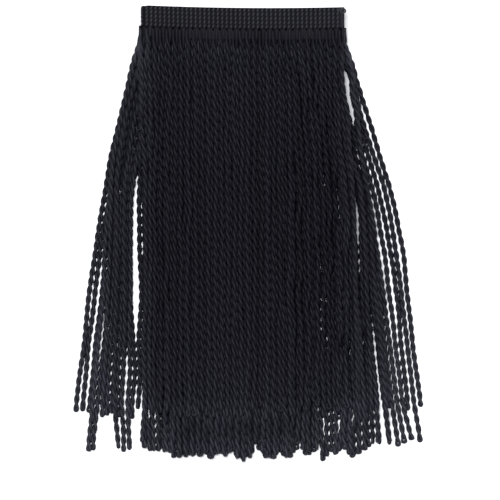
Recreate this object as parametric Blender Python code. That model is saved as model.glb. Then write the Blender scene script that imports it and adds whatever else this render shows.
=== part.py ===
"""A yard of black bullion fringe trim, folded back and forth into a bundle that lies flat on a surface.

The heading is a woven tape with upright ribs. Its layers stack up from the surface, z = 0, and the skirt of
twisted strands leaves its lower edge toward -Y. A backing strip just below the heading follows the same folds
and holds the roots of the strands. Each strand comes down onto the surface or onto the strands below it, and
the strands at both sides of the bundle flare outward. Lengths are in metres.
"""

import math
import random
from collections import namedtuple

import bmesh
import bpy
import numpy as np

MM = 0.001

# The tape: its cross-section, the folds, the sag of its middle, and the ribs of the layer that shows.
HEADING_HEIGHT = 11.5 * MM
TAPE_THICKNESS = 2.2 * MM
LAYER_PITCH = 2.7 * MM
TURN_RADIUS = LAYER_PITCH / 2
TURN_STEPS = 4
ROOT_TURN = math.radians(35)
BOW = 1.1 * MM
BOW_STEPS = 4
RIB_PITCH = 2.43 * MM
RIB_RELIEF = 0.4 * MM

# The backing strip and the strands. The strands at the tape's ends are shorter by the lift.
BACKING_GAP = 0.3 * MM
BACKING_HEIGHT = 2.4 * MM
STRANDS_A_LAYER = 30
STRAND_WIDTH = 2.3 * MM
STRAND_HEIGHT = 2.0 * MM
CLEARANCE = 0.3 * MM
END_LIFT = 4.5 * MM
LENGTH_UNEVENNESS = 1.6 * MM
SIDE_UNEVENNESS = 0.25 * MM
SEED = 11

# Distances below the root: where a strand bends, how far down its early shift and its droop reach, and the
# length over which a fan's shift is stated.
BENDS = (24 * MM, 74 * MM, 138 * MM)
LEFT_REACH = 92 * MM
RIGHT_REACH = 130 * MM
DROOP_REACH = 70 * MM
FAN_LENGTH = 210 * MM

# Strands are laid down with a test in every row, and each height is raised until it falls short by less than
# the slack. Heights go up to the next step.
ROW = 1 * MM
BRIDGE_ROUNDS = 200
BRIDGE_SLACK = 0.02 * MM
HEIGHT_STEP = 0.05 * MM
ROUNDING = 1e-6

# How the outermost strands of a layer leave it: "early" is the sideways shift made within the reach of
# that side, "fan" the further shift that grows evenly to the tip, "count" the strands that share it, and
# "ease" how much less the innermost of them moves than the outermost: 0 for a bundle, 1 for an even spread,
# and below 0 where the inner ones move more and close up.
Flare = namedtuple("Flare", "early fan count ease")

# From the surface up. "turn" is the x at which the layer's straight run ends, "skirt" its strands' length.
Layer = namedtuple("Layer", "turn skirt left right")
START_X = 52.5 * MM
LAYERS = (
    Layer(-56.3 * MM, 214 * MM, Flare(9.5 * MM, 28.5 * MM, 3, 0), Flare(22 * MM, 23 * MM, 5, 0.35)),
    Layer(50.4 * MM, 233 * MM, Flare(14.4 * MM, 17.8 * MM, 2, 0), Flare(16 * MM, 24 * MM, 5, 0.2)),
    Layer(-55.6 * MM, 214 * MM, Flare(15 * MM, 8.4 * MM, 6, -0.08), Flare(21 * MM, 11.2 * MM, 7, -0.14)),
    Layer(50.9 * MM, 232.5 * MM, Flare(18.1 * MM, 0, 4, 0.33), Flare(11.6 * MM, 16.8 * MM, 5, 0.26)),
    Layer(-56.4 * MM, 211 * MM, Flare(1.5 * MM, 0.9 * MM, 1, 0), Flare(12.1 * MM, 5 * MM, 6, -0.2)),
    Layer(50.2 * MM, 233.5 * MM, Flare(2 * MM, 0.6 * MM, 2, 0.5), Flare(12 * MM, 4.5 * MM, 6, 0.32)),
    Layer(-56.1 * MM, 233 * MM, Flare(1 * MM, 0.5 * MM, 4, 1), Flare(8 * MM, 5.2 * MM, 8, 0.4)),
    Layer(53.1 * MM, 211 * MM, Flare(0.5 * MM, 0.5 * MM, 4, 1), Flare(8.3 * MM, 1 * MM, 9, 1)),
)

# Levels along Y, before the whole is centred on the origin.
HEADING_TOP = 0.0
HEADING_BOTTOM = HEADING_TOP - HEADING_HEIGHT
BACKING_TOP = HEADING_BOTTOM - BACKING_GAP
ROOT_Y = BACKING_TOP - BACKING_HEIGHT

# A place on the tape's centre line, with the direction of travel as an angle in the X-Z plane.
Stop = namedtuple("Stop", "x z angle thickness", defaults=(TAPE_THICKNESS,))

# A strand's layer and root, with the depth below it and the x of each of its bends and of its tip.
Strand = namedtuple("Strand", "layer root_x root_z depths xs")

YARN_COLOUR = (0.022, 0.022, 0.028, 1)
HEADING_COLOUR = (0.035, 0.035, 0.042, 1)
YARN_ROUGHNESS = 0.6


def layer_start(number):
    return LAYERS[number - 1].turn if number else START_X


def layer_middle(number):
    """The height of the middle of the tape's thickness in this layer."""
    return number * LAYER_PITCH + TAPE_THICKNESS / 2


def travel(number):
    """-1 where the layer runs toward -X, and 1 where it runs toward +X."""
    return -1 if number % 2 == 0 else 1


def run_stops(number, xs):
    """Stops along the layer's straight run."""
    angle = 0 if travel(number) > 0 else math.pi
    return [Stop(x, layer_middle(number), angle) for x in xs]


def turn_stops(number, swings):
    """Stops round the fold at the layer's end, each a swing from 0 where it starts to pi where it ends."""
    way = travel(number)
    stops = []
    for swing in swings:
        x = LAYERS[number].turn + way * TURN_RADIUS * math.sin(swing)
        z = layer_middle(number) + TURN_RADIUS * (1 - math.cos(swing))
        stops.append(Stop(x, z, swing if way > 0 else math.pi - swing))
    return stops


def off_centre(x):
    """0 in the middle of the folded tape, and 1 at its ends and past them."""
    left, right = LAYERS[0].turn, START_X
    return min(1, abs(2 * x - left - right) / (right - left))


def bow(x):
    """How far the tape's middle sags below its two ends."""
    return -BOW * (1 - off_centre(x) ** 2)


def ring_at(stop, top, bottom):
    """The four corners of the tape's cross-section at a stop."""
    across_x = -math.sin(stop.angle) * stop.thickness / 2
    across_z = math.cos(stop.angle) * stop.thickness / 2
    sag = bow(stop.x)
    return (
        (stop.x + across_x, top + sag, stop.z + across_z),
        (stop.x + across_x, bottom + sag, stop.z + across_z),
        (stop.x - across_x, bottom + sag, stop.z - across_z),
        (stop.x - across_x, top + sag, stop.z - across_z),
    )


def push(bm, face, places):
    """Extrudes the face and puts its corners on these places, in their order round the face."""
    face = bmesh.ops.extrude_discrete_faces(bm, faces=[face])["faces"][0]
    for corner, place in zip(face.verts, places):
        corner.co = place
    return face


def sweep(bm, stops, top, bottom):
    """A closed bar of tape through the stops. Returns its four corners at each stop."""
    corners = [[bm.verts.new(place) for place in ring_at(stops[0], top, bottom)]]
    face = bm.faces.new(corners[0])
    for stop in stops[1:]:
        face = push(bm, face, ring_at(stop, top, bottom))
        corners.append(list(face.verts))
    bm.faces.new(corners[0][::-1])
    return corners


def rib_stops(number):
    """Stops for the layer that shows, at the crown of each rib and in the groove beside it."""
    start, end = layer_start(number), LAYERS[number].turn
    halves = 2 * round(abs(end - start) / RIB_PITCH)
    middle = layer_middle(number)
    stops = []
    for half, x in enumerate(np.linspace(start, end, halves + 1)):
        raised = RIB_RELIEF if half % 2 else 0
        stops.append(Stop(float(x), middle + raised / 2, 0, TAPE_THICKNESS + raised))
    return stops


def heading_stops():
    """Stops for the whole tape, from its cut end in the lowest layer to the one in the layer that shows."""
    stops = []
    top_layer = len(LAYERS) - 1
    for number in range(top_layer):
        xs = np.linspace(layer_start(number), LAYERS[number].turn, BOW_STEPS + 1)
        stops += run_stops(number, [float(x) for x in xs])
        stops += turn_stops(number, [math.pi * step / TURN_STEPS for step in range(1, TURN_STEPS)])
    return stops + rib_stops(top_layer)


def backing_stops():
    """The stops of the backing strip, and the indices of those at which a strand's root starts."""
    stops = []
    roots = []
    for number in range(len(LAYERS)):
        half = travel(number) * STRAND_WIDTH / 2
        for x in root_places(number):
            roots.append(len(stops))
            stops += run_stops(number, [x - half, x + half])
        if number < len(LAYERS) - 1:
            stops += turn_stops(number, [0])
            roots.append(len(stops))
            stops += turn_stops(number, [math.pi / 2 - ROOT_TURN, math.pi / 2 + ROOT_TURN, math.pi])
    return stops, roots


def root_places(number):
    """The x of each root along the layer's straight run, in the direction of travel."""
    start, end = layer_start(number), LAYERS[number].turn
    pitch = (end - start) / STRANDS_A_LAYER
    return [start + (place + 0.5) * pitch for place in range(STRANDS_A_LAYER)]


def flare_shift(flare, order, reach, depths):
    """The outward shift, at these depths, of the strand that lies in this order from the layer's side."""
    if order >= flare.count:
        return np.zeros(len(depths))
    early = flare.early * np.sin(math.pi / 2 * np.minimum(depths / reach, 1))
    fan = flare.fan * depths / FAN_LENGTH
    return (early + fan) * (1 - flare.ease * order / flare.count)


def plan_strands():
    """Every strand, in the order of the roots along the tape."""
    uneven = random.Random(SEED)
    strands = []
    for number, layer in enumerate(LAYERS):
        roots = [(x, number * LAYER_PITCH) for x in root_places(number)]
        if number < len(LAYERS) - 1:
            fold_x = layer.turn + travel(number) * TURN_RADIUS
            roots.append((fold_x, (number + 0.5) * LAYER_PITCH))
        from_left = sorted(roots)
        for root in roots:
            order = from_left.index(root)
            length = layer.skirt + uneven.uniform(-1, 1) * LENGTH_UNEVENNESS
            length -= END_LIFT * off_centre(root[0]) ** 2
            depths = np.array((0, *BENDS, length))
            wander = [0] + [uneven.uniform(-1, 1) * SIDE_UNEVENNESS for _ in depths[1:]]
            out_left = flare_shift(layer.left, order, LEFT_REACH, depths)
            out_right = flare_shift(layer.right, len(roots) - 1 - order, RIGHT_REACH, depths)
            xs = root[0] - out_left + out_right + np.array(wander)
            bent = np.sum(np.hypot(np.diff(depths[:-1]), np.diff(xs[:-1])))
            depths[-1] = depths[-2] + math.sqrt((length - bent) ** 2 - (xs[-1] - xs[-2]) ** 2)
            strands.append(Strand(number, *root, depths, xs))
    return strands


def lay_down(strands):
    """The height of each strand's underside at its root, bends and tip, laid one by one, lowest first."""
    deepest = max(strand.depths[-1] for strand in strands)
    rows = np.arange(0, deepest, ROW)
    lying_x = np.empty((0, len(rows)))
    lying_z = np.empty((0, len(rows)))
    laid = []
    for strand in strands:
        x = np.interp(rows, strand.depths, strand.xs)
        under = np.abs(lying_x - x) < STRAND_WIDTH + CLEARANCE
        tops = np.where(under, lying_z + STRAND_HEIGHT + CLEARANCE, 0)
        droop = strand.root_z * np.maximum(0, 1 - rows / DROOP_REACH) ** 2
        rest = np.max(np.vstack((tops, droop)), axis=0)
        heights = bridge(strand, rows, rest)
        z = np.interp(rows, strand.depths, heights)
        z[rows > strand.depths[-1] + ROW] = -LAYER_PITCH
        lying_x = np.vstack((lying_x, x))
        lying_z = np.vstack((lying_z, z))
        laid.append(heights)
    return laid


def bridge(strand, rows, rest):
    """Low heights at the strand's bends for which its straight stretches clear what it rests on at every row.

    They stay at or below the height that the strand has where all the layers below it lie one on another.
    """
    most = strand.layer * (STRAND_HEIGHT + CLEARANCE)
    rest = np.minimum(rest, most + (strand.root_z - most) * np.maximum(0, 1 - rows / BENDS[0]))
    heights = np.interp(strand.depths, rows, rest)
    heights[0] = strand.root_z
    stretch = np.clip(np.searchsorted(strand.depths, rows, side="left"), 1, len(heights) - 1)
    share = (rows - strand.depths[stretch - 1]) / (strand.depths[stretch] - strand.depths[stretch - 1])
    share = np.clip(share, 0, 1)
    for _ in range(BRIDGE_ROUNDS):
        short = rest - (1 - share) * heights[stretch - 1] - share * heights[stretch]
        worst = np.argmax(short)
        if short[worst] < BRIDGE_SLACK:
            break
        low, high = stretch[worst] - 1, stretch[worst]
        leverage = np.array((1 - share[worst], share[worst]))
        lift = short[worst] * leverage / np.sum(leverage**2)
        heights[[low, high]] = np.minimum(heights[[low, high]] + lift, max(most, heights[high]))
        heights[0] = strand.root_z
    return np.ceil(heights / HEIGHT_STEP - ROUNDING) * HEIGHT_STEP


def grow_strand(bm, root_face, strand, heights):
    """Extrudes a strand from its root, each corner of its cross-section keeping its own side."""
    middle = root_face.calc_center_median()
    sides = [(math.copysign(1, corner.co.x - middle.x), corner.co.z > middle.z) for corner in root_face.verts]
    face = root_face
    for depth, x, z in list(zip(strand.depths, strand.xs, heights))[1:]:
        y = ROOT_Y + bow(strand.root_x) - depth
        ring = [(x + side * STRAND_WIDTH / 2, y, z + upper * STRAND_HEIGHT) for side, upper in sides]
        face = push(bm, face, ring)


def make_material(name, colour):
    material = bpy.data.materials.new(name)
    material.use_nodes = True
    shader = material.node_tree.nodes["Principled BSDF"]
    shader.inputs["Base Color"].default_value = colour
    shader.inputs["Roughness"].default_value = YARN_ROUGHNESS
    shader.inputs["Metallic"].default_value = 0
    return material


def make_object(name, bm, colour):
    bmesh.ops.recalc_face_normals(bm, faces=bm.faces)
    mesh = bpy.data.meshes.new(name)
    bm.to_mesh(mesh)
    bm.free()
    mesh.materials.append(make_material(name, colour))
    made = bpy.data.objects.new(name, mesh)
    bpy.context.scene.collection.objects.link(made)
    return made


def make_heading():
    bm = bmesh.new()
    sweep(bm, heading_stops(), HEADING_TOP, HEADING_BOTTOM)
    return make_object("heading", bm, HEADING_COLOUR)


def make_fringe():
    bm = bmesh.new()
    stops, roots = backing_stops()
    corners = sweep(bm, stops, BACKING_TOP, ROOT_Y)
    strands = plan_strands()
    for root, strand, heights in zip(roots, strands, lay_down(strands)):
        near, far = corners[root], corners[root + 1]
        root_face = bm.faces.get((near[1], near[2], far[2], far[1]))
        grow_strand(bm, root_face, strand, heights)
    return make_object("fringe", bm, YARN_COLOUR)


def centre_on_origin(pieces):
    """Moves the pieces so that their common box stands on the origin, bottom centre."""
    corners = np.array([vertex.co for piece in pieces for vertex in piece.data.vertices])
    low, high = corners.min(axis=0), corners.max(axis=0)
    for piece in pieces:
        piece.location = (-(low[0] + high[0]) / 2, -(low[1] + high[1]) / 2, -low[2])


for existing in list(bpy.data.objects):
    bpy.data.objects.remove(existing, do_unlink=True)
centre_on_origin([make_heading(), make_fringe()])
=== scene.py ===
"""The looks of a yard of black bullion fringe trim, folded back and forth into a bundle that lies flat.

The camera looks straight down at it. The heading is a woven tape with upright ribs of small stitches, and the
skirt is of strands, each two plies laid round each other and doubled back into a small loop at its end. They
follow the plan of the solid strands, with the same layers, roots, skirts and flares. Those that lie loose at
the sides have a course of their own. Lengths are in metres, and in the tables of places in millimetres.
"""

import math
import random
from collections import namedtuple

import bmesh
import bpy
import numpy as np
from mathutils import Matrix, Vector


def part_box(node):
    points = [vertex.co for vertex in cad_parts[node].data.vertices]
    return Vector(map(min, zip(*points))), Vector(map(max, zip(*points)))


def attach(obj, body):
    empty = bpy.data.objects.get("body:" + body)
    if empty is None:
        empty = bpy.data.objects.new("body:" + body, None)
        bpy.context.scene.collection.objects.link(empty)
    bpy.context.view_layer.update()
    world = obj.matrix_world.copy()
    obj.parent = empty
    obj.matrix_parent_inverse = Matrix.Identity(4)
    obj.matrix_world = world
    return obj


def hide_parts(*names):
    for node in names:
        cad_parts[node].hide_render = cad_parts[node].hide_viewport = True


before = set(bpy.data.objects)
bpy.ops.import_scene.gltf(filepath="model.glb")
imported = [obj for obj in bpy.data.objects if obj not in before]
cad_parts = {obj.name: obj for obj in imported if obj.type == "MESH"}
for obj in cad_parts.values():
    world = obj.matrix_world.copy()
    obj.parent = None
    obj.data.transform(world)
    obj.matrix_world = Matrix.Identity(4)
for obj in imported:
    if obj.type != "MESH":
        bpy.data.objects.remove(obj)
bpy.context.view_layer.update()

MM = 0.001

# The tape's folds and where the strands' roots lie below its top, as the solids have them. Places along x are
# from the middle of the plan. The tape's direction is read between places that are near each other.
HEADING_HEIGHT = 11.5 * MM
HEADING_RIGHT = 53.35 * MM
TAPE_THICKNESS = 2.2 * MM
LAYER_PITCH = 2.7 * MM
TURN_RADIUS = LAYER_PITCH / 2
TURN_STEPS = 14
NEAR = 0.2 * MM
START_X = 52.5 * MM
BOW = 1.1 * MM
ROOT_DROP = 14.2 * MM
HEADING_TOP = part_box("heading")[1].y
ROOT_Y = HEADING_TOP - ROOT_DROP
CENTRE_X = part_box("heading")[1].x - HEADING_RIGHT

# How the tape lies in the photograph: with less of a bow, a little lower, and lowest at its right end.
BOW_SHARE = 0.85
DROP = 0.35 * MM
LEAN = 1 * MM

# The plan of the strands, as the solids have it. A flare is how far the strands at one side of a layer
# spread: early, near the heading, and then on like a fan.
STRANDS_A_LAYER = 30
END_LIFT = 4.5 * MM
LENGTH_UNEVENNESS = 1.6 * MM
SIDE_UNEVENNESS = 0.25 * MM
SEED = 11
BENDS = (24 * MM, 74 * MM, 138 * MM)
LEFT_REACH = 92 * MM
RIGHT_REACH = 130 * MM
DROOP_REACH = 70 * MM
FAN_LENGTH = 210 * MM

Flare = namedtuple("Flare", "early fan count ease")
Layer = namedtuple("Layer", "turn skirt left right")
LAYERS = (
    Layer(-56.3 * MM, 214 * MM, Flare(9.5 * MM, 28.5 * MM, 3, 0), Flare(22 * MM, 23 * MM, 5, 0.35)),
    Layer(50.4 * MM, 233 * MM, Flare(14.4 * MM, 17.8 * MM, 2, 0), Flare(16 * MM, 24 * MM, 5, 0.2)),
    Layer(-55.6 * MM, 214 * MM, Flare(15 * MM, 8.4 * MM, 6, -0.08), Flare(21 * MM, 11.2 * MM, 7, -0.14)),
    Layer(50.9 * MM, 232.5 * MM, Flare(18.1 * MM, 0, 4, 0.33), Flare(11.6 * MM, 16.8 * MM, 5, 0.26)),
    Layer(-56.4 * MM, 211 * MM, Flare(1.5 * MM, 0.9 * MM, 1, 0), Flare(12.1 * MM, 5 * MM, 6, -0.2)),
    Layer(50.2 * MM, 233.5 * MM, Flare(2 * MM, 0.6 * MM, 2, 0.5), Flare(12 * MM, 4.5 * MM, 6, 0.32)),
    Layer(-56.1 * MM, 233 * MM, Flare(1 * MM, 0.5 * MM, 4, 1), Flare(8 * MM, 5.2 * MM, 8, 0.4)),
    Layer(53.1 * MM, 211 * MM, Flare(0.5 * MM, 0.5 * MM, 4, 1), Flare(8.3 * MM, 1 * MM, 9, 1)),
)

# The loose strands at the two sides, by layer and by order from that side: how far each lies from the middle
# at these depths below its root, in millimetres. They bend over some cells to either side and hardly waver.
LEFT_DEPTHS = (0, 15.5, 48.5, 68, 81.5, 92.5, 114.5, 147.5, 170, 186, 202.5, 225)
LEFT_STRAYS = {
    (0, 0): (-57.6, -62.8, -70.5, -75.3, -77.6, -79.4, -83, -87.9, -89.8, -92.1, -94.4, -95.4),
    (0, 1): (-54.5, -59, -67.9, -72.5, -74.4, -76.5, -80.8, -84.4, -87.5, -88.9, -90.5, -92.1),
    (0, 2): (-50.9, -55.5, -64.1, -68.5, -71, -73.3, -77.8, -80.6, -83.6, -85.1, -86.7, -88.6),
    (1, 0): (-54.5, -59.7, -68.8, -72.9, -75.4, -76.4, -78.4, -79.5, -82.2, -83.6, -85, -87.5),
    (1, 1): (-51, -56.4, -65.5, -69.9, -72.3, -73.2, -75.1, -76.5, -78.9, -80.7, -82.5, -85),
    (2, 0): (-57, -61.9, -69.9, -73.4, -74.8, -75.1, -75.6, -77.3, -77.8, -78.8, -79.8, -80.6),
    (2, 1): (-53.8, -58.6, -66.8, -70.1, -71.5, -72, -72.9, -74.4, -75.4, -76.3, -77.3, -77.8),
    (2, 2): (-50.3, -54.7, -63.3, -66.6, -68.8, -69.3, -70.4, -71.7, -72.6, -73.7, -74.8, -75.4),
    (2, 3): (-46.8, -52, -60.2, -64.1, -66.8, -67.4, -68.5, -69.3, -70.2, -71.3, -72.4, -72.9),
    (2, 4): (-43.2, -48.7, -57.2, -61.6, -64.6, -65.5, -66.8, -66.8, -67.4, -68.6, -69.9, -70.7),
    (2, 5): (-39.7, -45.4, -54.5, -60.2, -62.8, -64.3, -64.6, -64.7, -62.9, -61.9, -63.5, -64.1),
    (3, 0): (-53.8, -58.6, -67.4, -70.7, -71.8, -71.8, -71.8, -72.3, -73.2, -73.4, -73.7, -71.2),
    (3, 1): (-50.3, -53.6, -62.4, -65.7, -67.7, -67.8, -68.2, -67.7, -67.9, -68.6, -69.3, -68.2),
    (3, 2): (-46.7, -49, -57.5, -60.8, -63, -64.4, -64.5, -64.6, -65.2, -64.6, -66, -65.2),
    (4, 0): (-57.7, -58.6, -58.9, -58.9, -59.3, -59.8, -59.5, -58.3, -60.1, -59.4, -60, -61.9),
    (5, 0): (-54.6, -54.2, -55.8, -55.8, -55.8, -55.8, -55.8, -55.6, -57.2, -56.5, -55.8, -56.7),
    (6, 0): (-57.5, -58, -58, -56.9, -56.2, -56.2, -56.2, -55.8, -57.5, -56.9, -56.4, -58),
}
RIGHT_DEPTHS = (0, 15.5, 24, 33, 43, 54, 65, 81.5, 98, 120, 147.5, 170, 202.5, 225)
RIGHT_STRAYS = {
    (0, 0): (50.7, 57.8, 59.8, 62.7, 65.8, 69.2, 72.5, 77.6, 81.9, 85.9, 88.7, 91.1, 95.4, 96.5),
    (0, 1): (47.1, 53.6, 57.6, 58.9, 60.2, 63.1, 65.9, 71.2, 75, 79, 82.9, 84.6, 88.3, 88.8),
    (0, 2): (43.4, 47.6, 49.2, 51.4, 53.6, 55.6, 56.9, 60.8, 64.1, 68.2, 71.8, 75.1, 78.9, 80),
    (0, 3): (39.8, 44.3, 45.9, 48.3, 50.9, 53.1, 55.3, 59.7, 62.7, 65.7, 69.6, 72.1, 75.1, 76.2),
    (0, 4): (36.2, 40.4, 42.6, 45, 47.6, 50.1, 52.5, 55.3, 57.5, 58.6, 59.1, 61.3, 66.8, 69),
    (1, 0): (51.8, 56.7, 58.5, 60.1, 61.9, 65.3, 69.2, 74.6, 78.5, 82, 85.5, 88, 91.9, 95.4),
    (1, 1): (48.6, 53.4, 57.5, 57.8, 60.3, 61.1, 63, 68.2, 71.8, 75.5, 78.9, 81.6, 85.5, 91),
    (1, 2): (45.1, 48.1, 49.5, 51.2, 53.1, 54.3, 55.6, 60, 63.3, 67.7, 72.3, 75.6, 79.5, 83.1),
    (1, 3): (41.5, 45.9, 47.6, 49.7, 52, 53.7, 55.4, 59.7, 62.7, 65.2, 68.5, 71.8, 75.4, 78.4),
    (1, 4): (38, 42.6, 44.8, 47.2, 49.8, 52.3, 54.7, 59.4, 62.4, 62.8, 64.9, 67.4, 70.7, 72.9),
    (2, 0): (48.6, 53.4, 57.5, 57.3, 60, 60.2, 62.2, 64.6, 67.9, 70.4, 72.9, 74.8, 77.3, 78.4),
    (2, 1): (45.1, 48.7, 49.8, 51.4, 54.2, 57.2, 59.1, 62.4, 65.2, 66.8, 69, 72.3, 75.1, 76.2),
    (2, 2): (41.6, 45.4, 47, 49.2, 51.4, 53.4, 55.3, 58.9, 62.7, 64, 66, 68.2, 71.5, 72.3),
    (2, 3): (38, 42.6, 44.3, 46.9, 49.8, 52.3, 54.7, 56.9, 58, 58.5, 59.1, 62.4, 67.4, 68.5),
    (2, 4): (34.5, 38.8, 41, 43.6, 46.5, 49.2, 52, 54.5, 55.8, 56.9, 57.8, 59.7, 64.1, 65.2),
    (2, 5): (31, 34.9, 37.1, 40.1, 43.2, 46.2, 49.2, 52, 53.6, 54.7, 55.8, 57.5, 60.8, 61.9),
    (3, 0): (52.3, 55.8, 57.8, 57.4, 60.5, 61.1, 62.3, 65.2, 68.2, 71.5, 75.4, 78.4, 82.5, 86.6),
    (3, 1): (49.1, 51.2, 51.6, 52.4, 55, 58.3, 61.9, 65.7, 66.8, 68.5, 70.7, 73.4, 75.9, 78.4),
    (3, 2): (45.6, 48.1, 49.2, 51.2, 53.4, 54.5, 55.6, 60.2, 62.4, 63.5, 66, 68.2, 71, 72.3),
    (3, 3): (42, 44.3, 45.4, 47.2, 49.2, 51.2, 53.1, 54.7, 56.7, 58, 58.7, 61.3, 65.2, 66.8),
    (4, 0): (49.1, 50.9, 51.4, 52.3, 54.7, 55.2, 55.7, 60.8, 62.4, 62.8, 63.4, 65.2, 66.8, 67.4),
    (4, 1): (45.5, 47, 48.7, 50.3, 52, 53.1, 54.2, 56.1, 57.8, 58.6, 59.1, 60.8, 63.5, 64.1),
    (5, 0): (51.5, 51.7, 51.7, 52.3, 54.9, 55.3, 55.7, 61.1, 63.3, 64.6, 65.7, 67.1, 68.2, 69),
    (5, 1): (48.4, 50.3, 51.4, 52.8, 54.2, 54.9, 55.6, 57.2, 58.3, 58.6, 59.3, 61.9, 64.1, 64.6),
    (6, 0): (48.4, 50.3, 50.9, 51.7, 52.5, 53.4, 54.2, 56.4, 57.8, 58.6, 59.1, 60, 61.6, 61.6),
    (7, 0): (51.3, 51.6, 51.7, 52.3, 54.9, 55.3, 55.7, 57.2, 58.3, 58.7, 59.1, 60, 60.5, 60.5),
}
STRAY_OVER = 10
STRAY_WAVE = 0.07 * MM

# A strand is one ply doubled back at its end, the two halves laid round each other. They leave the tape side
# by side, and each half of the strand has this many rings.
LAY = 10.5 * MM
LAY_UNEVENNESS = (0.93, 1.06)
PLY_RADIUS = 1 * MM
PLY_SIDES = 5
PLY_APART = 0.62 * MM
ROOT_APART = 0.91 * MM
ROOT_COVER = 3.2 * MM
LAID_FROM = 1 * MM
LAID_LATER = 5
LAID_BY = 7 * MM
RINGS = 158

# How far the yarn stands out where it is not laid yet, how much of its relief it has there, and how far a
# loop stands out. By these the finish paints shade into the grooves and light onto the crests, less near the
# roots, and one even tone on the loops.
ROOT_RAISED = 0.62
ROOT_RELIEF = 0.25
LOOP_RAISED = 0.8

# How pale the yarn is painted by its place to either side of the middle, and how much paler by its depth, in
# millimetres. This is painted light and shade: the middle of the skirt is painted darker than its sides, and
# the yarn paler just below the heading and up to three times as pale toward the ends. Below the top layer the
# roots are painted paler still, to make up for the shade that the top layer casts on them. Each strand's
# paleness also differs a little at random.
PAINTED_LIGHT_PLACES = (47, 57, 66, 77, 83)
SIDE_PAINTED_LIGHT = (0.36, 0.57, 0.58, 0.68, 0.82)
PAINTED_LIGHT_DEPTHS = (0, 20, 40, 85, 120, 170, 200, 212, 230)
DEPTH_PAINTED_LIGHT = (1.4, 1.3, 1.1, 1.02, 1, 1.18, 1.55, 2.4, 3)
ROOT_DEPTHS = (5, 20)
ROOT_PAINTED_LIGHT = (2.4, 1)
MOST_PAINTED_LIGHT = 1.1
SHADE_UNEVENNESS = (0.85, 1.15)

# The loop at the end of a strand.
LOOP_RINGS = 7
LOOP_LENGTH = 1.9 * MM
LOOP_BULGE = (0.2 * MM, 1.7 * MM)

# How unevenly the strands end, how much lower they end by their place, and the notches between them: the
# place and depth of each. All but the first are in millimetres.
END_UNEVENNESS = 2 * MM
END_PLACES = (-47, -40, 38, 44, 60, 90)
END_DROPS = (3.8, 1.3, 1.3, 4.6, 3.8, 2.4)
NOTCHES = ((-57.5, 4.5), (-50.5, 2.5), (-45.4, 3.5), (-25, 2), (-15.7, 4.5), (-8.5, 5), (5.2, 10), (18.4, 3),
           (28.3, 6.5), (38.2, 2.5), (45.9, 5), (53.6, 4), (65, 3.5), (71, 7), (76, 8))
NOTCH_REACH = 4

# How the strands waver beyond the plan.
WAVE = 0.22 * MM
WAVE_LENGTHS = (22 * MM, 48 * MM)
WAVE_BY = 20 * MM

# The room in which the strands are laid on one another, and its cells. Each strand slides a few cells at most
# into a hollow between those below it, at a cost that grows with the square of the way.
CELL = 0.5 * MM
ROOM_WIDTH = 240 * MM
ROOM_DEPTH = 250 * MM
ROOM_SPARE = 8
CONTACT = 1.15 * MM
CONTACT_CELLS = 2
SLIDE = 3
SLIDE_COST = 40
SLIDE_OVER = 24
SETTLE_OVER = 9

# The ribs of the heading and their stitches, fine only where they show, and the tape's thinner border.
RIB_PITCH = 2.43 * MM
RIBS_SHOWN = 48
STEPS_A_SHOWN_RIB = 8
STEPS_A_HIDDEN_RIB = 3
RIB_SHARPNESS = 4
STITCH_ROWS = 5
STEPS_A_STITCH = 4
STITCH_RELIEF = 0.5 * MM
STITCH_SLANT = 0.6 * MM
BETWEEN_STITCHES = 0.2
STITCH_FULLNESS = 0.8
GROUND_HALF = 0.65 * MM
GROUND_RAISED = 0.43
BORDER_SHARE = 1 / 14
BORDER_HALF = 0.45
LOWER_BORDER = 0.7

# Its rounded corner at the last fold, its smooth cut end, and the yarn that curls up there.
CORNER = 2 * MM
CUT_END = 4 * MM
CUT_END_RAISED = 0.15
CURL_RADIUS = 0.45 * MM
CURL_SIDES = 8
CURL_RINGS = 40
CURL_TURN = (1.1 * math.pi, -1.7 * math.pi)
CURL_NARROWING = (1, 0.3)
CURL_REACH = (2.3 * MM, 1.6 * MM)
CURL_IN = 1.1 * MM
CURL_DOWN = 2.2 * MM
CURL_HEIGHTS = (0.9 * MM, 1.6 * MM)
CURL_RAISED = 0.6
CURL_CREST = 0.25
CURL_SHADE = 1.3

# The yarns of the strands just below the heading: their half thickness on the way down, and how full and pale
# they are. Their crests are painted paler than the hollows between them, as painted shade, and they are
# painted a little darker toward their lower edge.
BINDING_OVERLAP = 0.8 * MM
BINDING_HEIGHT = 5.2 * MM
BINDING_TONGUE = 2 * MM
BINDING_HALVES = (0.62 * MM, 0.62 * MM, 0.56 * MM, 0.48 * MM, 0.4 * MM, 0.3 * MM, 0.18 * MM, 0.06 * MM)
BINDING_FULLNESS = 0.7
BETWEEN_YARNS = 0.6
BINDING_RAISED = 0.45
BINDING_CREST = 0.15
BINDING_FADE = 0.15
BINDING_SHORT = 1.5 * MM
HIDDEN_STEP = 1.2 * MM
SHOWN_STEP = 0.45 * MM
BINDING_SHADE = 0.5

# The yarn's finish: its tone between dark and pale, and how fine fibres and a slow drift change it. The
# fibres also change its roughness and make small bumps.
MIDDLE_TONE = 0.5
FIBRE_TONE = 0.6
DRIFT_TONE = 0.3
DRIFT = (20, 20, 30)
FIBRE_SPREAD = 90
DRIFT_SPREAD = 70
FIBRE_ROUGHNESS = 0.24
FIBRE_BUMP = 0.4
FIBRE_HEIGHT = 0.1 * MM

# The view: the width of the photograph at the level of the top strands, its centre, and the camera's height.
VIEW_WIDTH = 275 * MM
VIEW_CENTRE = (CENTRE_X + 1.42 * MM, -9.4 * MM)
VIEW_LEVEL = 8 * MM
CAMERA_HEIGHT = 2.4
SENSOR = 36
FAR_END = 100

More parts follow.
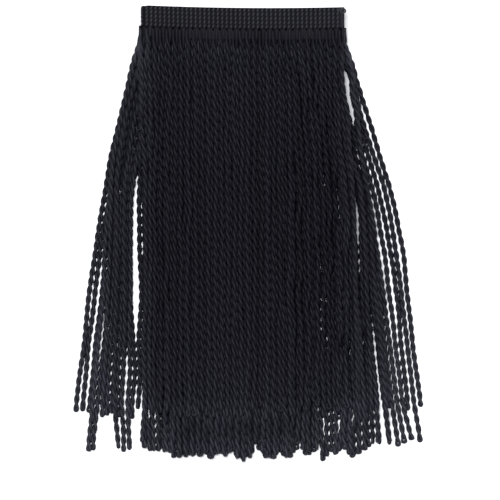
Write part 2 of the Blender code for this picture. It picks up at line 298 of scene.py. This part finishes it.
# The paper that the bundle lies on.
PAPER_SIZE = 8
PAPER_WHITE = (0.93, 0.93, 0.93)
PAPER_ROUGHNESS = 0.9
PAPER_BELOW = 0.02 * MM
STUDIO_LIGHT = 0.4

Strand = namedtuple("Strand", "layer root_x root_z length depths xs stray")


def layer_start(number):
    """The x at which the layer's straight run begins."""
    return LAYERS[number - 1].turn if number else START_X


def layer_middle(number):
    """The height of the middle of the tape's thickness."""
    return number * LAYER_PITCH + TAPE_THICKNESS / 2


def travel(number):
    """-1 where the layer runs toward -X, and 1 where it runs toward +X."""
    return -1 if number % 2 == 0 else 1


def bow(x):
    """The shift in y that lets the tape's middle sag below its two ends."""
    left, right = LAYERS[0].turn, START_X
    off_centre = np.minimum(1, np.abs(2 * x - left - right) / (right - left))
    return -BOW * (1 - off_centre**2)


def sag(x):
    """The shift in y from the top of the plan to the tape as it lies in the photograph."""
    left = LAYERS[0].turn
    return BOW_SHARE * bow(x) - DROP - LEAN * (x - left) / (START_X - left)


def root_places(number):
    """The x of each root along the layer's straight run, in the direction of travel."""
    start, end = layer_start(number), LAYERS[number].turn
    pitch = (end - start) / STRANDS_A_LAYER
    return [start + (place + 0.5) * pitch for place in range(STRANDS_A_LAYER)]


def flare_shift(flare, order, reach, depths):
    """The outward shift, at these depths, of the strand that has this order from the layer's side."""
    if order >= flare.count:
        return np.zeros(len(depths))
    early = flare.early * np.sin(math.pi / 2 * np.minimum(depths / reach, 1))
    fan = flare.fan * depths / FAN_LENGTH
    return (early + fan) * (1 - flare.ease * order / flare.count)


def ease(share):
    """From 0 to 1 without a corner at either end."""
    share = np.clip(share, 0, 1)
    return share * share * (3 - 2 * share)


def smooth_between(places, known, values):
    """Values at these places, easing from each known one to the next."""
    index = np.clip(np.searchsorted(known, places, side="right") - 1, 0, len(known) - 2)
    known, values = np.asarray(known), np.asarray(values)
    share = ease((places - known[index]) / (known[index + 1] - known[index]))
    return values[index] + (values[index + 1] - values[index]) * share


def smoothed(values, over):
    """Values evened out over this many places to both sides."""
    window = np.hanning(2 * over + 3)[1:-1]
    return np.convolve(np.pad(values, over, mode="edge"), window / window.sum(), mode="valid")


def stray_course(number, from_left, from_right, depths):
    """The x at these depths of a loose strand of the layer, or nothing for one that keeps to the plan."""
    if (number, from_left) in LEFT_STRAYS:
        xs = np.interp(depths / MM, LEFT_DEPTHS, LEFT_STRAYS[number, from_left]) * MM
    elif (number, from_right) in RIGHT_STRAYS:
        xs = np.interp(depths / MM, RIGHT_DEPTHS, RIGHT_STRAYS[number, from_right]) * MM
    else:
        return None
    return smoothed(xs, STRAY_OVER)


def plan_strands():
    """Every strand, in the order of the roots along the tape, with its x at each depth below the root."""
    uneven = random.Random(SEED)
    waves = random.Random(SEED + 1)
    depths = np.arange(0, ROOM_DEPTH, CELL)
    strands = []
    for number, layer in enumerate(LAYERS):
        roots = [(x, number * LAYER_PITCH) for x in root_places(number)]
        if number < len(LAYERS) - 1:
            fold_x = layer.turn + travel(number) * TURN_RADIUS
            roots.append((fold_x, (number + 0.5) * LAYER_PITCH))
        from_left = sorted(roots)
        for root in roots:
            order = from_left.index(root)
            length = layer.skirt + uneven.uniform(-1, 1) * LENGTH_UNEVENNESS
            length += END_LIFT * (bow(root[0]) / -BOW - 1) + sag(root[0]) - bow(root[0])
            wander = [0] + [uneven.uniform(-1, 1) * SIDE_UNEVENNESS for _ in range(len(BENDS) + 1)]
            from_right = len(roots) - 1 - order
            xs = stray_course(number, order, from_right, depths)
            stray = xs is not None
            if not stray:
                out_left = flare_shift(layer.left, order, LEFT_REACH, depths)
                xs = root[0] - out_left + flare_shift(layer.right, from_right, RIGHT_REACH, depths)
                xs += smooth_between(depths, (0, *BENDS, length), wander)
            for _ in range(2):
                cycle = waves.uniform(*WAVE_LENGTHS)
                turn = waves.uniform(0, 2 * math.pi)
                wave = STRAY_WAVE if stray else WAVE
                xs += wave * ease(depths / WAVE_BY) * np.sin(2 * math.pi * depths / cycle + turn)
            strands.append(Strand(number, *root, length, depths, xs, stray))
    return strands


def settle(strands):
    """The height of the middle of each strand at each of its depths, laid down one by one, lowest first."""
    columns, rows = int(ROOM_WIDTH / CELL), len(strands[0].depths) + ROOM_SPARE
    tops = np.zeros((rows, columns))
    sides = np.arange(-CONTACT_CELLS, CONTACT_CELLS + 1)
    reach = sides * CELL
    hollow = CONTACT - np.sqrt(CONTACT**2 - reach**2)
    slides = np.arange(-SLIDE, SLIDE + 1)
    heights = []
    for strand in strands:
        row = ((-sag(strand.root_x) + strand.depths) / CELL).astype(int)
        column = (columns / 2 + strand.xs / CELL).astype(int)
        # Loose strands keep to their course, and the others slide into a hollow nearby.
        if not strand.stray:
            around = tops[row[:, None, None], column[:, None, None] + slides[:, None] + sides]
            effort = np.max(around - hollow, axis=2) + SLIDE_COST * (slides * CELL) ** 2
            effort = np.stack([smoothed(way, SLIDE_OVER) for way in effort.T])
            slid = smoothed(slides[np.argmin(effort, axis=0)] * CELL, SLIDE_OVER)
            strand.xs[:] += slid * ease(strand.depths / BENDS[0])
            column = (columns / 2 + strand.xs / CELL).astype(int)
        rest = np.max(tops[row[:, None], column[:, None] + sides] - hollow, axis=1)
        # No strand lies higher than its layer would with every strand below it in place.
        droop = strand.root_z * np.maximum(0, 1 - strand.depths / DROOP_REACH) ** 2
        most = (strand.layer + strand.stray) * 2 * CONTACT
        most = most + (strand.root_z - most) * np.maximum(0, 1 - strand.depths / BENDS[0])
        rest = np.minimum(np.maximum(rest, droop), most)
        spread = np.pad(rest, SETTLE_OVER // 2, mode="edge")
        spread = np.max(np.lib.stride_tricks.sliding_window_view(spread, SETTLE_OVER), axis=1)
        under = smoothed(spread, SETTLE_OVER)
        lying = strand.depths < strand.length
        crown = under[:, None] + CONTACT + np.sqrt(CONTACT**2 - reach**2)
        np.maximum.at(tops, (row[lying, None], column[lying, None] + sides), crown[lying])
        heights.append(under + CONTACT)
    return heights


def strand_line(strand, heights, at):
    """Places along the strand's middle, at these lengths from its root."""
    steps = np.hypot(np.diff(strand.depths), np.diff(strand.xs))
    run = np.concatenate(([0], np.cumsum(steps)))
    x = np.interp(at, run, strand.xs) + CENTRE_X
    y = ROOT_Y + sag(strand.root_x) - np.where(at < 0, at, np.interp(at, run, strand.depths))
    return np.stack((x, y, np.interp(at, run, heights)), axis=-1)


def directions(line):
    """At each place of a line: along it, level across it, and upright to both."""
    along = np.gradient(line, axis=0)
    along /= np.linalg.norm(along, axis=1, keepdims=True)
    across = np.cross(along, (0, 0, 1))
    across /= np.linalg.norm(across, axis=1, keepdims=True)
    return along, across, np.cross(across, along)


def rings_round(angles, across, upright):
    """The way to each corner of a ring, at these angles, at each place of a line."""
    ring = np.cos(angles)[:, None, None] * across + np.sin(angles)[:, None, None] * upright
    return ring.transpose(1, 0, 2)


def drawn_tube(sides, rings):
    """A closed tube of this many rings, drawn out one by one from a disc."""
    bm = bmesh.new()
    first = bmesh.ops.create_circle(bm, cap_ends=True, segments=sides, radius=1)["verts"]
    face = bm.faces[:][0]
    for _ in range(rings - 1):
        face = bmesh.ops.extrude_discrete_faces(bm, faces=[face])["faces"][0]
    bm.faces.new(first[::-1])
    return bm


def repeated(name, template, places, finish, unlaid, crest_light, paleness_and_painted_light):
    """One piece of many copies of the template, its corners at these places, shape (copies, corners, 3).

    unlaid is where each corner would be on straight yarn or flat tape. The crest mask goes from 0 in a groove
    to 1 on a crest, and the finish paints shade into the grooves by it. The paleness is how pale the yarn is,
    with painted light and shade in it.
    """
    mesh = bpy.data.meshes.new(name)
    template.to_mesh(mesh)
    starts = np.empty(len(mesh.polygons), np.int32)
    sizes = np.empty(len(mesh.polygons), np.int32)
    corners = np.empty(len(mesh.loops), np.int32)
    mesh.polygons.foreach_get("loop_start", starts)
    mesh.polygons.foreach_get("loop_total", sizes)
    mesh.loops.foreach_get("vertex_index", corners)
    copies, count = places.shape[:2]
    shift = np.arange(copies, dtype=np.int32)[:, None]
    mesh.clear_geometry()
    mesh.vertices.add(copies * count)
    mesh.loops.add(copies * len(corners))
    mesh.polygons.add(copies * len(starts))
    mesh.vertices.foreach_set("co", places.astype(np.float32).ravel())
    mesh.loops.foreach_set("vertex_index", (corners + shift * count).ravel())
    mesh.polygons.foreach_set("loop_start", (starts + shift * len(corners)).ravel())
    mesh.polygons.foreach_set("loop_total", np.tile(sizes, copies))
    mesh.update(calc_edges=True)
    mesh.shade_smooth()
    layer = mesh.attributes.new("unlaid", "FLOAT_VECTOR", "POINT")
    layer.data.foreach_set("vector", unlaid.astype(np.float32).ravel())
    for kind, values in (("crest_light", crest_light), ("paleness_and_painted_light", np.broadcast_to(paleness_and_painted_light, crest_light.shape))):
        layer = mesh.attributes.new(kind, "FLOAT", "POINT")
        layer.data.foreach_set("value", values.astype(np.float32).ravel())
    mesh.materials.append(finish)
    piece = bpy.data.objects.new(name, mesh)
    bpy.context.scene.collection.objects.link(piece)
    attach(piece, "root")
    return piece


# Finishes.


class Level:
    """A number that changes over the surface. Each sum with it adds a node to its finish."""

    def __init__(self, finish, socket):
        self.finish = finish
        self.socket = socket

    def math(self, operation, *values):
        node = self.finish.node("ShaderNodeMath", {"operation": operation}, values)
        return Level(self.finish, node.outputs[0])

    def __add__(self, other):
        return self.math("ADD", self, other)

    def __mul__(self, other):
        return self.math("MULTIPLY", self, other)

    def __rsub__(self, other):
        return self.math("SUBTRACT", other, self)


class Finish:
    """A material whose nodes are added one at a time."""

    def __init__(self, name, colour, roughness):
        self.material = bpy.data.materials.new(name)
        self.material.use_nodes = True
        self.material.diffuse_color = (*colour, 1)
        self.shader = self.material.node_tree.nodes["Principled BSDF"]
        self.shader.inputs["Base Color"].default_value = (*colour, 1)
        self.shader.inputs["Roughness"].default_value = roughness

    def node(self, kind, settings=None, values=()):
        """A node of this kind, its settings first, then the values or links of its sockets."""
        node = self.material.node_tree.nodes.new(kind)
        for name, value in (settings or {}).items():
            setattr(node, name, value)
        for key, value in values.items() if isinstance(values, dict) else enumerate(values):
            self.join(value, node.inputs[key])
        return node

    def join(self, value, socket):
        if isinstance(value, Level):
            value = value.socket
        if isinstance(value, bpy.types.NodeSocket):
            self.material.node_tree.links.new(value, socket)
        else:
            socket.default_value = value

    def set(self, name, value):
        self.join(value, self.shader.inputs[name])

    def read(self, name, output):
        """An attribute that the piece has at its corners."""
        return self.node("ShaderNodeAttribute", {"attribute_name": name}).outputs[output]

    def noise(self, place, scale, spread, detail):
        """Cloudiness from 0 to 1, finer along each axis as the scale there is greater."""
        stretched = self.node("ShaderNodeVectorMath", {"operation": "MULTIPLY"}, (place, scale)).outputs[0]
        values = {"Vector": stretched, "W": spread, "Scale": 1, "Detail": detail, "Roughness": 0.6}
        return Level(self, self.node("ShaderNodeTexNoise", {"noise_dimensions": "4D"}, values).outputs[0])

    def blend(self, share, first, second):
        """From the first colour at 0 to the second at 1."""
        node = self.node("ShaderNodeMix", {"data_type": "RGBA"}, {0: share, 6: (*first, 1), 7: (*second, 1)})
        return node.outputs[2]

    def bump(self, height, strength, distance):
        values = {"Strength": strength, "Distance": distance, "Height": height}
        self.set("Normal", self.node("ShaderNodeBump", {}, values).outputs[0])


def worn(name, dark, pale, fibres, roughness, gloss, groove_shade):
    """Black yarn, dark and dull in its grooves, with the fibres as fine streaks.

    The dark grooves and pale crests of its colour are painted shade and light, and so is much of the paleness
    that scales its tone and gloss.
    """
    finish = Finish(name, pale, roughness)
    paleness_and_painted_light = Level(finish, finish.read("paleness_and_painted_light", "Fac"))
    crest_light = Level(finish, finish.read("crest_light", "Fac"))
    unlaid = finish.read("unlaid", "Vector")
    fibre = finish.noise(unlaid, fibres, paleness_and_painted_light * FIBRE_SPREAD, 3)
    drift = finish.noise(unlaid, DRIFT, paleness_and_painted_light * DRIFT_SPREAD, 1)
    # Painted shade: the tone is darker in the grooves and paler on the crests, and the painted paleness by
    # place scales it.
    tone = (MIDDLE_TONE - (1 - crest_light) * groove_shade + fibre * FIBRE_TONE + drift * DRIFT_TONE) * paleness_and_painted_light
    finish.set("Base Color", finish.blend(tone, dark, pale))
    finish.set("Roughness", roughness + FIBRE_ROUGHNESS / 2 - fibre * FIBRE_ROUGHNESS)
    finish.bump(fibre, FIBRE_BUMP, FIBRE_HEIGHT)
    finish.set("Specular IOR Level", 0.02)
    # The crest mask and the painted paleness also set how glossy the yarn is.
    finish.set("Coat Weight", crest_light * paleness_and_painted_light * gloss)
    finish.set("Coat Roughness", roughness)
    return finish.material


# The strands.


def down_and_up(values, at_loop):
    """Values along the strand's line, carried down one half of it, round its loop and up the other."""
    return np.concatenate((values, np.full(LOOP_RINGS, at_loop), values[::-1]))


def ply_corners(line, at, lay, loop_bulge, laid_from):
    """The corners of each ring of the ply, down one half of the strand, round its loop and up the other half.

    With them come the place of each corner on a straight ply, and how far it stands out from the strand's
    middle, by which the grooves between the plies are painted darker and the crests paler.
    """
    along, across, upright = directions(line)
    laid = ease((at - laid_from) / (LAID_BY - LAID_FROM))
    turn = np.cumsum(np.diff(at, prepend=at[0]) * laid) * 2 * math.pi / lay
    apart = (ROOT_APART + (PLY_APART - ROOT_APART) * laid)[:, None]
    outward = apart * (np.cos(turn)[:, None] * across + np.sin(turn)[:, None] * upright)
    round_ply = 2 * math.pi * (np.arange(PLY_SIDES) / PLY_SIDES + 0.25)
    ring = PLY_RADIUS * rings_round(round_ply, across, upright)

    # The last ring swings half a turn about an axis across the strand.
    end_out = outward[-1] / PLY_APART
    axis = np.cross(end_out, along[-1])
    swing = math.pi * np.arange(1, LOOP_RINGS + 1)[:, None] / (LOOP_RINGS + 1)
    wide = (PLY_APART + loop_bulge * np.sin(swing)) * np.cos(swing)
    loop = line[-1] + wide * end_out + LOOP_LENGTH * np.sin(swing) * along[-1]
    level = ring[-1] @ axis
    cos, sin = np.cos(swing)[..., None], np.sin(swing)[..., None]
    swung = cos * ring[-1] + sin * np.cross(axis, ring[-1]) + (1 - cos) * level[:, None] * axis
    back = 2 * (ring @ axis)[..., None] * axis - ring

    middle = np.concatenate((line + outward, loop, (line - outward)[::-1]))
    rings = np.concatenate((ring, swung, back[::-1]))
    corners = middle[:, None] + rings
    strand_middle = np.concatenate((line, np.tile(line[-1], (LOOP_RINGS, 1)), line[::-1]))
    crest_light = np.linalg.norm(corners - strand_middle[:, None], axis=-1) / (PLY_APART + PLY_RADIUS)
    crest_light[RINGS:-RINGS] = LOOP_RAISED
    relief = ROOT_RELIEF + (1 - ROOT_RELIEF) * ease(at / (2 * LAID_BY))
    crest_light = ROOT_RAISED + (crest_light - ROOT_RAISED) * down_and_up(relief, 1)[:, None]
    corners[..., 2] = np.maximum(corners[..., 2], 0)
    length = np.concatenate(([0], np.cumsum(np.linalg.norm(np.diff(middle, axis=0), axis=1))))
    straight = (PLY_RADIUS * np.cos(round_ply), PLY_RADIUS * np.sin(round_ply), length[:, None])
    straight = np.stack(np.broadcast_arrays(*straight), axis=-1)
    return corners.reshape(-1, 3), straight.reshape(-1, 3), np.minimum(crest_light, 1).ravel()


def hanging_length(strand, vary):
    """How far down the strand reaches, with its uneven end, any notch it is in and the drop at the sides."""
    length = strand.length - LOOP_LENGTH - vary.uniform(0, 1) * END_UNEVENNESS
    end_x = np.interp(length, strand.depths, strand.xs) / MM
    length -= max(deep * max(0, 1 - abs(end_x - place) / NOTCH_REACH) for place, deep in NOTCHES) * MM
    length += np.interp(end_x, END_PLACES, END_DROPS) * MM
    return length


def strand_tone_and_painted_light(number, line, at, vary):
    """How pale each corner of a strand of this layer is, as painted light and shade by place and depth
    and a random tone for the strand.
    """
    by_place = np.interp(np.abs(line[:, 0]) / MM, PAINTED_LIGHT_PLACES, SIDE_PAINTED_LIGHT)
    by_place *= np.interp(at / MM, PAINTED_LIGHT_DEPTHS, DEPTH_PAINTED_LIGHT)
    if number < len(LAYERS) - 1:
        by_place *= np.interp(at / MM, ROOT_DEPTHS, ROOT_PAINTED_LIGHT)
    by_place = np.minimum(by_place, MOST_PAINTED_LIGHT) * vary.uniform(*SHADE_UNEVENNESS)
    return np.repeat(down_and_up(by_place, by_place[-1]), PLY_SIDES)


def make_strands(finish):
    """The skirt, a piece for each layer."""
    strands = plan_strands()
    heights = settle(strands)
    ply = drawn_tube(PLY_SIDES, 2 * RINGS + LOOP_RINGS)
    vary = random.Random(SEED + 2)
    pieces = []
    for number in range(len(LAYERS)):
        shapes, paleness_and_painted_lights = [], []
        for strand, height in zip(strands, heights):
            if strand.layer != number:
                continue
            at = np.linspace(-ROOT_COVER, hanging_length(strand, vary), RINGS)
            line = strand_line(strand, height, at)
            lay = LAY * vary.uniform(*LAY_UNEVENNESS)
            loop_bulge = vary.uniform(*LOOP_BULGE)
            laid_from = LAID_FROM * vary.uniform(0, LAID_LATER)
            shapes.append(ply_corners(line, at, lay, loop_bulge, laid_from))
            paleness_and_painted_lights.append(strand_tone_and_painted_light(number, line, at, vary))
        places, straight, crest_light = (np.array(part) for part in zip(*shapes))
        name = f"strands_{number + 1}"
        piece = repeated(name, ply, places, finish, straight, crest_light, np.array(paleness_and_painted_lights))
        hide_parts("fringe")
        pieces.append(piece)
    return pieces


# The tape.


def tape_line():
    """Lengths along the folded tape, with x and height there, and the length at the end of each layer."""
    xs, zs, ends = [], [], []
    for number, layer in enumerate(LAYERS):
        way, middle = travel(number), layer_middle(number)
        xs += [layer_start(number), layer.turn]
        zs += [middle, middle]
        ends.append(len(xs) - 1)
        if number < len(LAYERS) - 1:
            swing = np.linspace(0, math.pi, TURN_STEPS + 1)[1:-1]
            xs += list(layer.turn + way * TURN_RADIUS * np.sin(swing))
            zs += list(middle + TURN_RADIUS * (1 - np.cos(swing)))
    xs, zs = np.array(xs), np.array(zs)
    run = np.concatenate(([0], np.cumsum(np.hypot(np.diff(xs), np.diff(zs)))))
    return run, xs, zs, run[ends]


def swept_band(name, at, places_across, half_thickness, finish, crest_light, paleness_and_painted_light):
    """A band that follows the tape. places_across and half_thickness have a row for each length along it."""
    run, xs, zs, _ = tape_line()
    x, z = np.interp(at, run, xs), np.interp(at, run, zs)
    ahead = np.interp(at + NEAR, run, xs) - np.interp(at - NEAR, run, xs)
    rise = np.interp(at + NEAR, run, zs) - np.interp(at - NEAR, run, zs)
    size = np.hypot(ahead, rise)
    out_x, out_z = (-rise / size)[:, None], (ahead / size)[:, None]
    x, z = x[:, None], z[:, None]
    y = HEADING_TOP + sag(x) - places_across
    front, back = (np.stack((x + out_x * half + CENTRE_X, y, z + out_z * half), axis=-1)
                   for half in (half_thickness, -half_thickness))
    ring = np.concatenate((front, back[:, ::-1]), axis=1)
    flat = np.stack((np.broadcast_to(at[:, None], places_across.shape), places_across, 0 * crest_light), axis=-1)
    unlaid = np.concatenate((flat, flat[:, ::-1]), axis=1)
    crest_light = np.concatenate((crest_light, crest_light[:, ::-1]), axis=1)
    tube = drawn_tube(ring.shape[1], ring.shape[0])
    return repeated(name, tube, ring.reshape(1, -1, 3), finish, unlaid.reshape(1, -1, 3), crest_light, paleness_and_painted_light)


def make_heading(finish):
    """The folded tape, with its ribs of stitches on the layer that shows."""
    run, _, _, ends = tape_line()
    shows_from = run[-1] - RIBS_SHOWN * RIB_PITCH
    hidden = np.arange(0, shows_from, RIB_PITCH / STEPS_A_HIDDEN_RIB)
    shown = np.arange(shows_from, run[-1], RIB_PITCH / STEPS_A_SHOWN_RIB)
    at = np.concatenate((hidden, shown))
    share = np.linspace(0, 1, STITCH_ROWS * STEPS_A_STITCH + 1)
    last_fold = ends[-2] + TURN_RADIUS * math.pi / 2
    rounded = CORNER * np.maximum(0, 1 - np.abs(at - last_fold) / (2 * CORNER)) ** 2
    across = share * HEADING_HEIGHT + rounded[:, None] * (1 - share)
    in_row = (share * STITCH_ROWS) % 1
    in_row[-1] = 1
    slanted = (at[:, None] + STITCH_SLANT * (in_row - 0.5)) / RIB_PITCH
    to_cut = (run[-1] - at[:, None]) / CUT_END
    rib = np.abs(np.sin(math.pi * slanted)) ** RIB_SHARPNESS * ease(to_cut)
    crest = np.abs(np.sin(math.pi * share * STITCH_ROWS)) ** STITCH_FULLNESS
    stitch = BETWEEN_STITCHES + (1 - BETWEEN_STITCHES) * crest
    # Painted shade: the ground between the ribs and stitches is painted darker than they are, and the cut end
    # a little paler than that ground.
    crest_light = GROUND_RAISED + (1 - GROUND_RAISED) * rib * stitch + CUT_END_RAISED * ease(1 - to_cut)
    inward = np.minimum(1, np.minimum(share / BORDER_SHARE, (1 - share) / BORDER_SHARE + LOWER_BORDER))
    half = (BORDER_HALF + (1 - BORDER_HALF) * inward) * (GROUND_HALF + STITCH_RELIEF * rib * stitch)
    heading = swept_band("heading_tape", at, across, half, finish, crest_light, 1)
    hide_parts("heading")
    return heading


def make_loose_end(finish):
    """The yarn that curls up on the tape where it is cut."""
    turn = np.linspace(*CURL_TURN, CURL_RINGS)
    narrowing = np.linspace(*CURL_NARROWING, CURL_RINGS)
    cut_x = LAYERS[-1].turn
    line = np.stack((CENTRE_X + cut_x - CURL_IN + CURL_REACH[0] * narrowing * np.cos(turn),
                     HEADING_TOP + sag(cut_x) - CURL_DOWN + CURL_REACH[1] * narrowing * np.sin(turn),
                     layer_middle(len(LAYERS) - 1) + np.linspace(*CURL_HEIGHTS, CURL_RINGS)), axis=-1)
    _, across, upright = directions(line)
    around = 2 * math.pi * np.arange(CURL_SIDES) / CURL_SIDES
    corners = line[:, None] + CURL_RADIUS * rings_round(around, across, upright)
    # Painted light and shade: the curling yarn is painted paler on its upper side and darker below.
    crest_light = np.broadcast_to(CURL_RAISED + CURL_CREST * np.sin(around), corners.shape[:2]).reshape(1, -1)
    shape = corners.reshape(1, -1, 3)
    tube = drawn_tube(CURL_SIDES, CURL_RINGS)
    curl = repeated("loose_end", tube, shape, finish, shape, crest_light, CURL_SHADE)
    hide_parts("heading")
    return curl


def make_binding(finish):
    """The yarns of the strands just below the heading, side by side and not laid yet."""
    run, _, _, ends = tape_line()
    hidden = np.arange(0, ends[-2], HIDDEN_STEP)
    shown = np.arange(ends[-2], run[-1] - BINDING_SHORT, SHOWN_STEP)
    at = np.concatenate((hidden, shown))
    plies = np.interp(at, (0, *ends), 2 * STRANDS_A_LAYER * np.arange(len(LAYERS) + 1))
    crest = np.abs(np.sin(math.pi * plies))[:, None] ** BINDING_FULLNESS
    share = np.linspace(0, 1, len(BINDING_HALVES))
    across = HEADING_HEIGHT - BINDING_OVERLAP + share * (BINDING_HEIGHT + BINDING_TONGUE * crest)
    half = np.array(BINDING_HALVES) * (BETWEEN_YARNS + (1 - BETWEEN_YARNS) * crest)
    crest_light = (BINDING_RAISED + BINDING_CREST * crest) * (1 - BINDING_FADE * share)
    binding = swept_band("binding", at, across, half, finish, crest_light, BINDING_SHADE)
    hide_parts("fringe")
    return binding


# The view, the light and the paper.


def look_down():
    """The camera straight above the bundle."""
    camera = bpy.data.cameras.new("camera")
    camera.lens = SENSOR * (CAMERA_HEIGHT - VIEW_LEVEL) / VIEW_WIDTH
    camera.sensor_width = SENSOR
    camera.clip_end = FAR_END
    holder = bpy.data.objects.new("camera", camera)
    holder.location = (*VIEW_CENTRE, CAMERA_HEIGHT)
    bpy.context.scene.collection.objects.link(holder)
    bpy.context.scene.camera = holder


def add_light(name, place, size, power, tint=(1, 1, 1)):
    """A round lamp that is turned to the bundle."""
    lamp = bpy.data.lights.new(name, "AREA")
    lamp.shape = "DISK"
    lamp.size = size
    lamp.energy = power
    lamp.color = tint
    holder = bpy.data.objects.new(name, lamp)
    holder.location = place
    holder.rotation_mode = "QUATERNION"
    holder.rotation_quaternion = (-holder.location).to_track_quat("-Z", "Y")
    holder.visible_camera = False
    bpy.context.scene.collection.objects.link(holder)


def make_stage():
    """The white paper that the bundle lies on."""
    bm = bmesh.new()
    bmesh.ops.create_grid(bm, x_segments=1, y_segments=1, size=PAPER_SIZE)
    mesh = bpy.data.meshes.new("floor")
    bm.to_mesh(mesh)
    bm.free()
    paper = Finish("white_paper", PAPER_WHITE, PAPER_ROUGHNESS)
    paper.set("Specular IOR Level", 0.1)
    mesh.materials.append(paper.material)
    floor = bpy.data.objects.new("floor", mesh)
    floor.location.z = -PAPER_BELOW
    bpy.context.scene.collection.objects.link(floor)


def set_light():
    """A soft, even studio light, mostly from above."""
    scene = bpy.context.scene
    scene.view_settings.view_transform = "Standard"
    scene.view_settings.look = "None"
    world = bpy.data.worlds.new("studio")
    world.use_nodes = True
    scene.world = world
    background = world.node_tree.nodes["Background"]
    background.inputs["Color"].default_value = (1, 1, 1, 1)
    background.inputs["Strength"].default_value = STUDIO_LIGHT
    add_light("overhead", place=(-0.2, 0.3, 3.0), size=0.9, power=104, tint=(0.94, 0.95, 1))
    add_light("side", place=(1.3, 0.2, 1.5), size=0.8, power=8)


look_down()
set_light()
make_stage()
yarn = worn("black_yarn", dark=(0.0006, 0.0006, 0.0009), pale=(0.019, 0.019, 0.028), fibres=(7000, 7000, 450),
            roughness=0.55, gloss=0.34, groove_shade=1.2)
strand_pieces = make_strands(yarn)
tape = worn("black_tape", dark=(0.0008, 0.0008, 0.0012), pale=(0.033, 0.0325, 0.042), fibres=(3500, 1200, 0),
            roughness=0.6, gloss=0.15, groove_shade=1.65)
heading = make_heading(tape)
binding = make_binding(yarn)
loose_end = make_loose_end(tape)
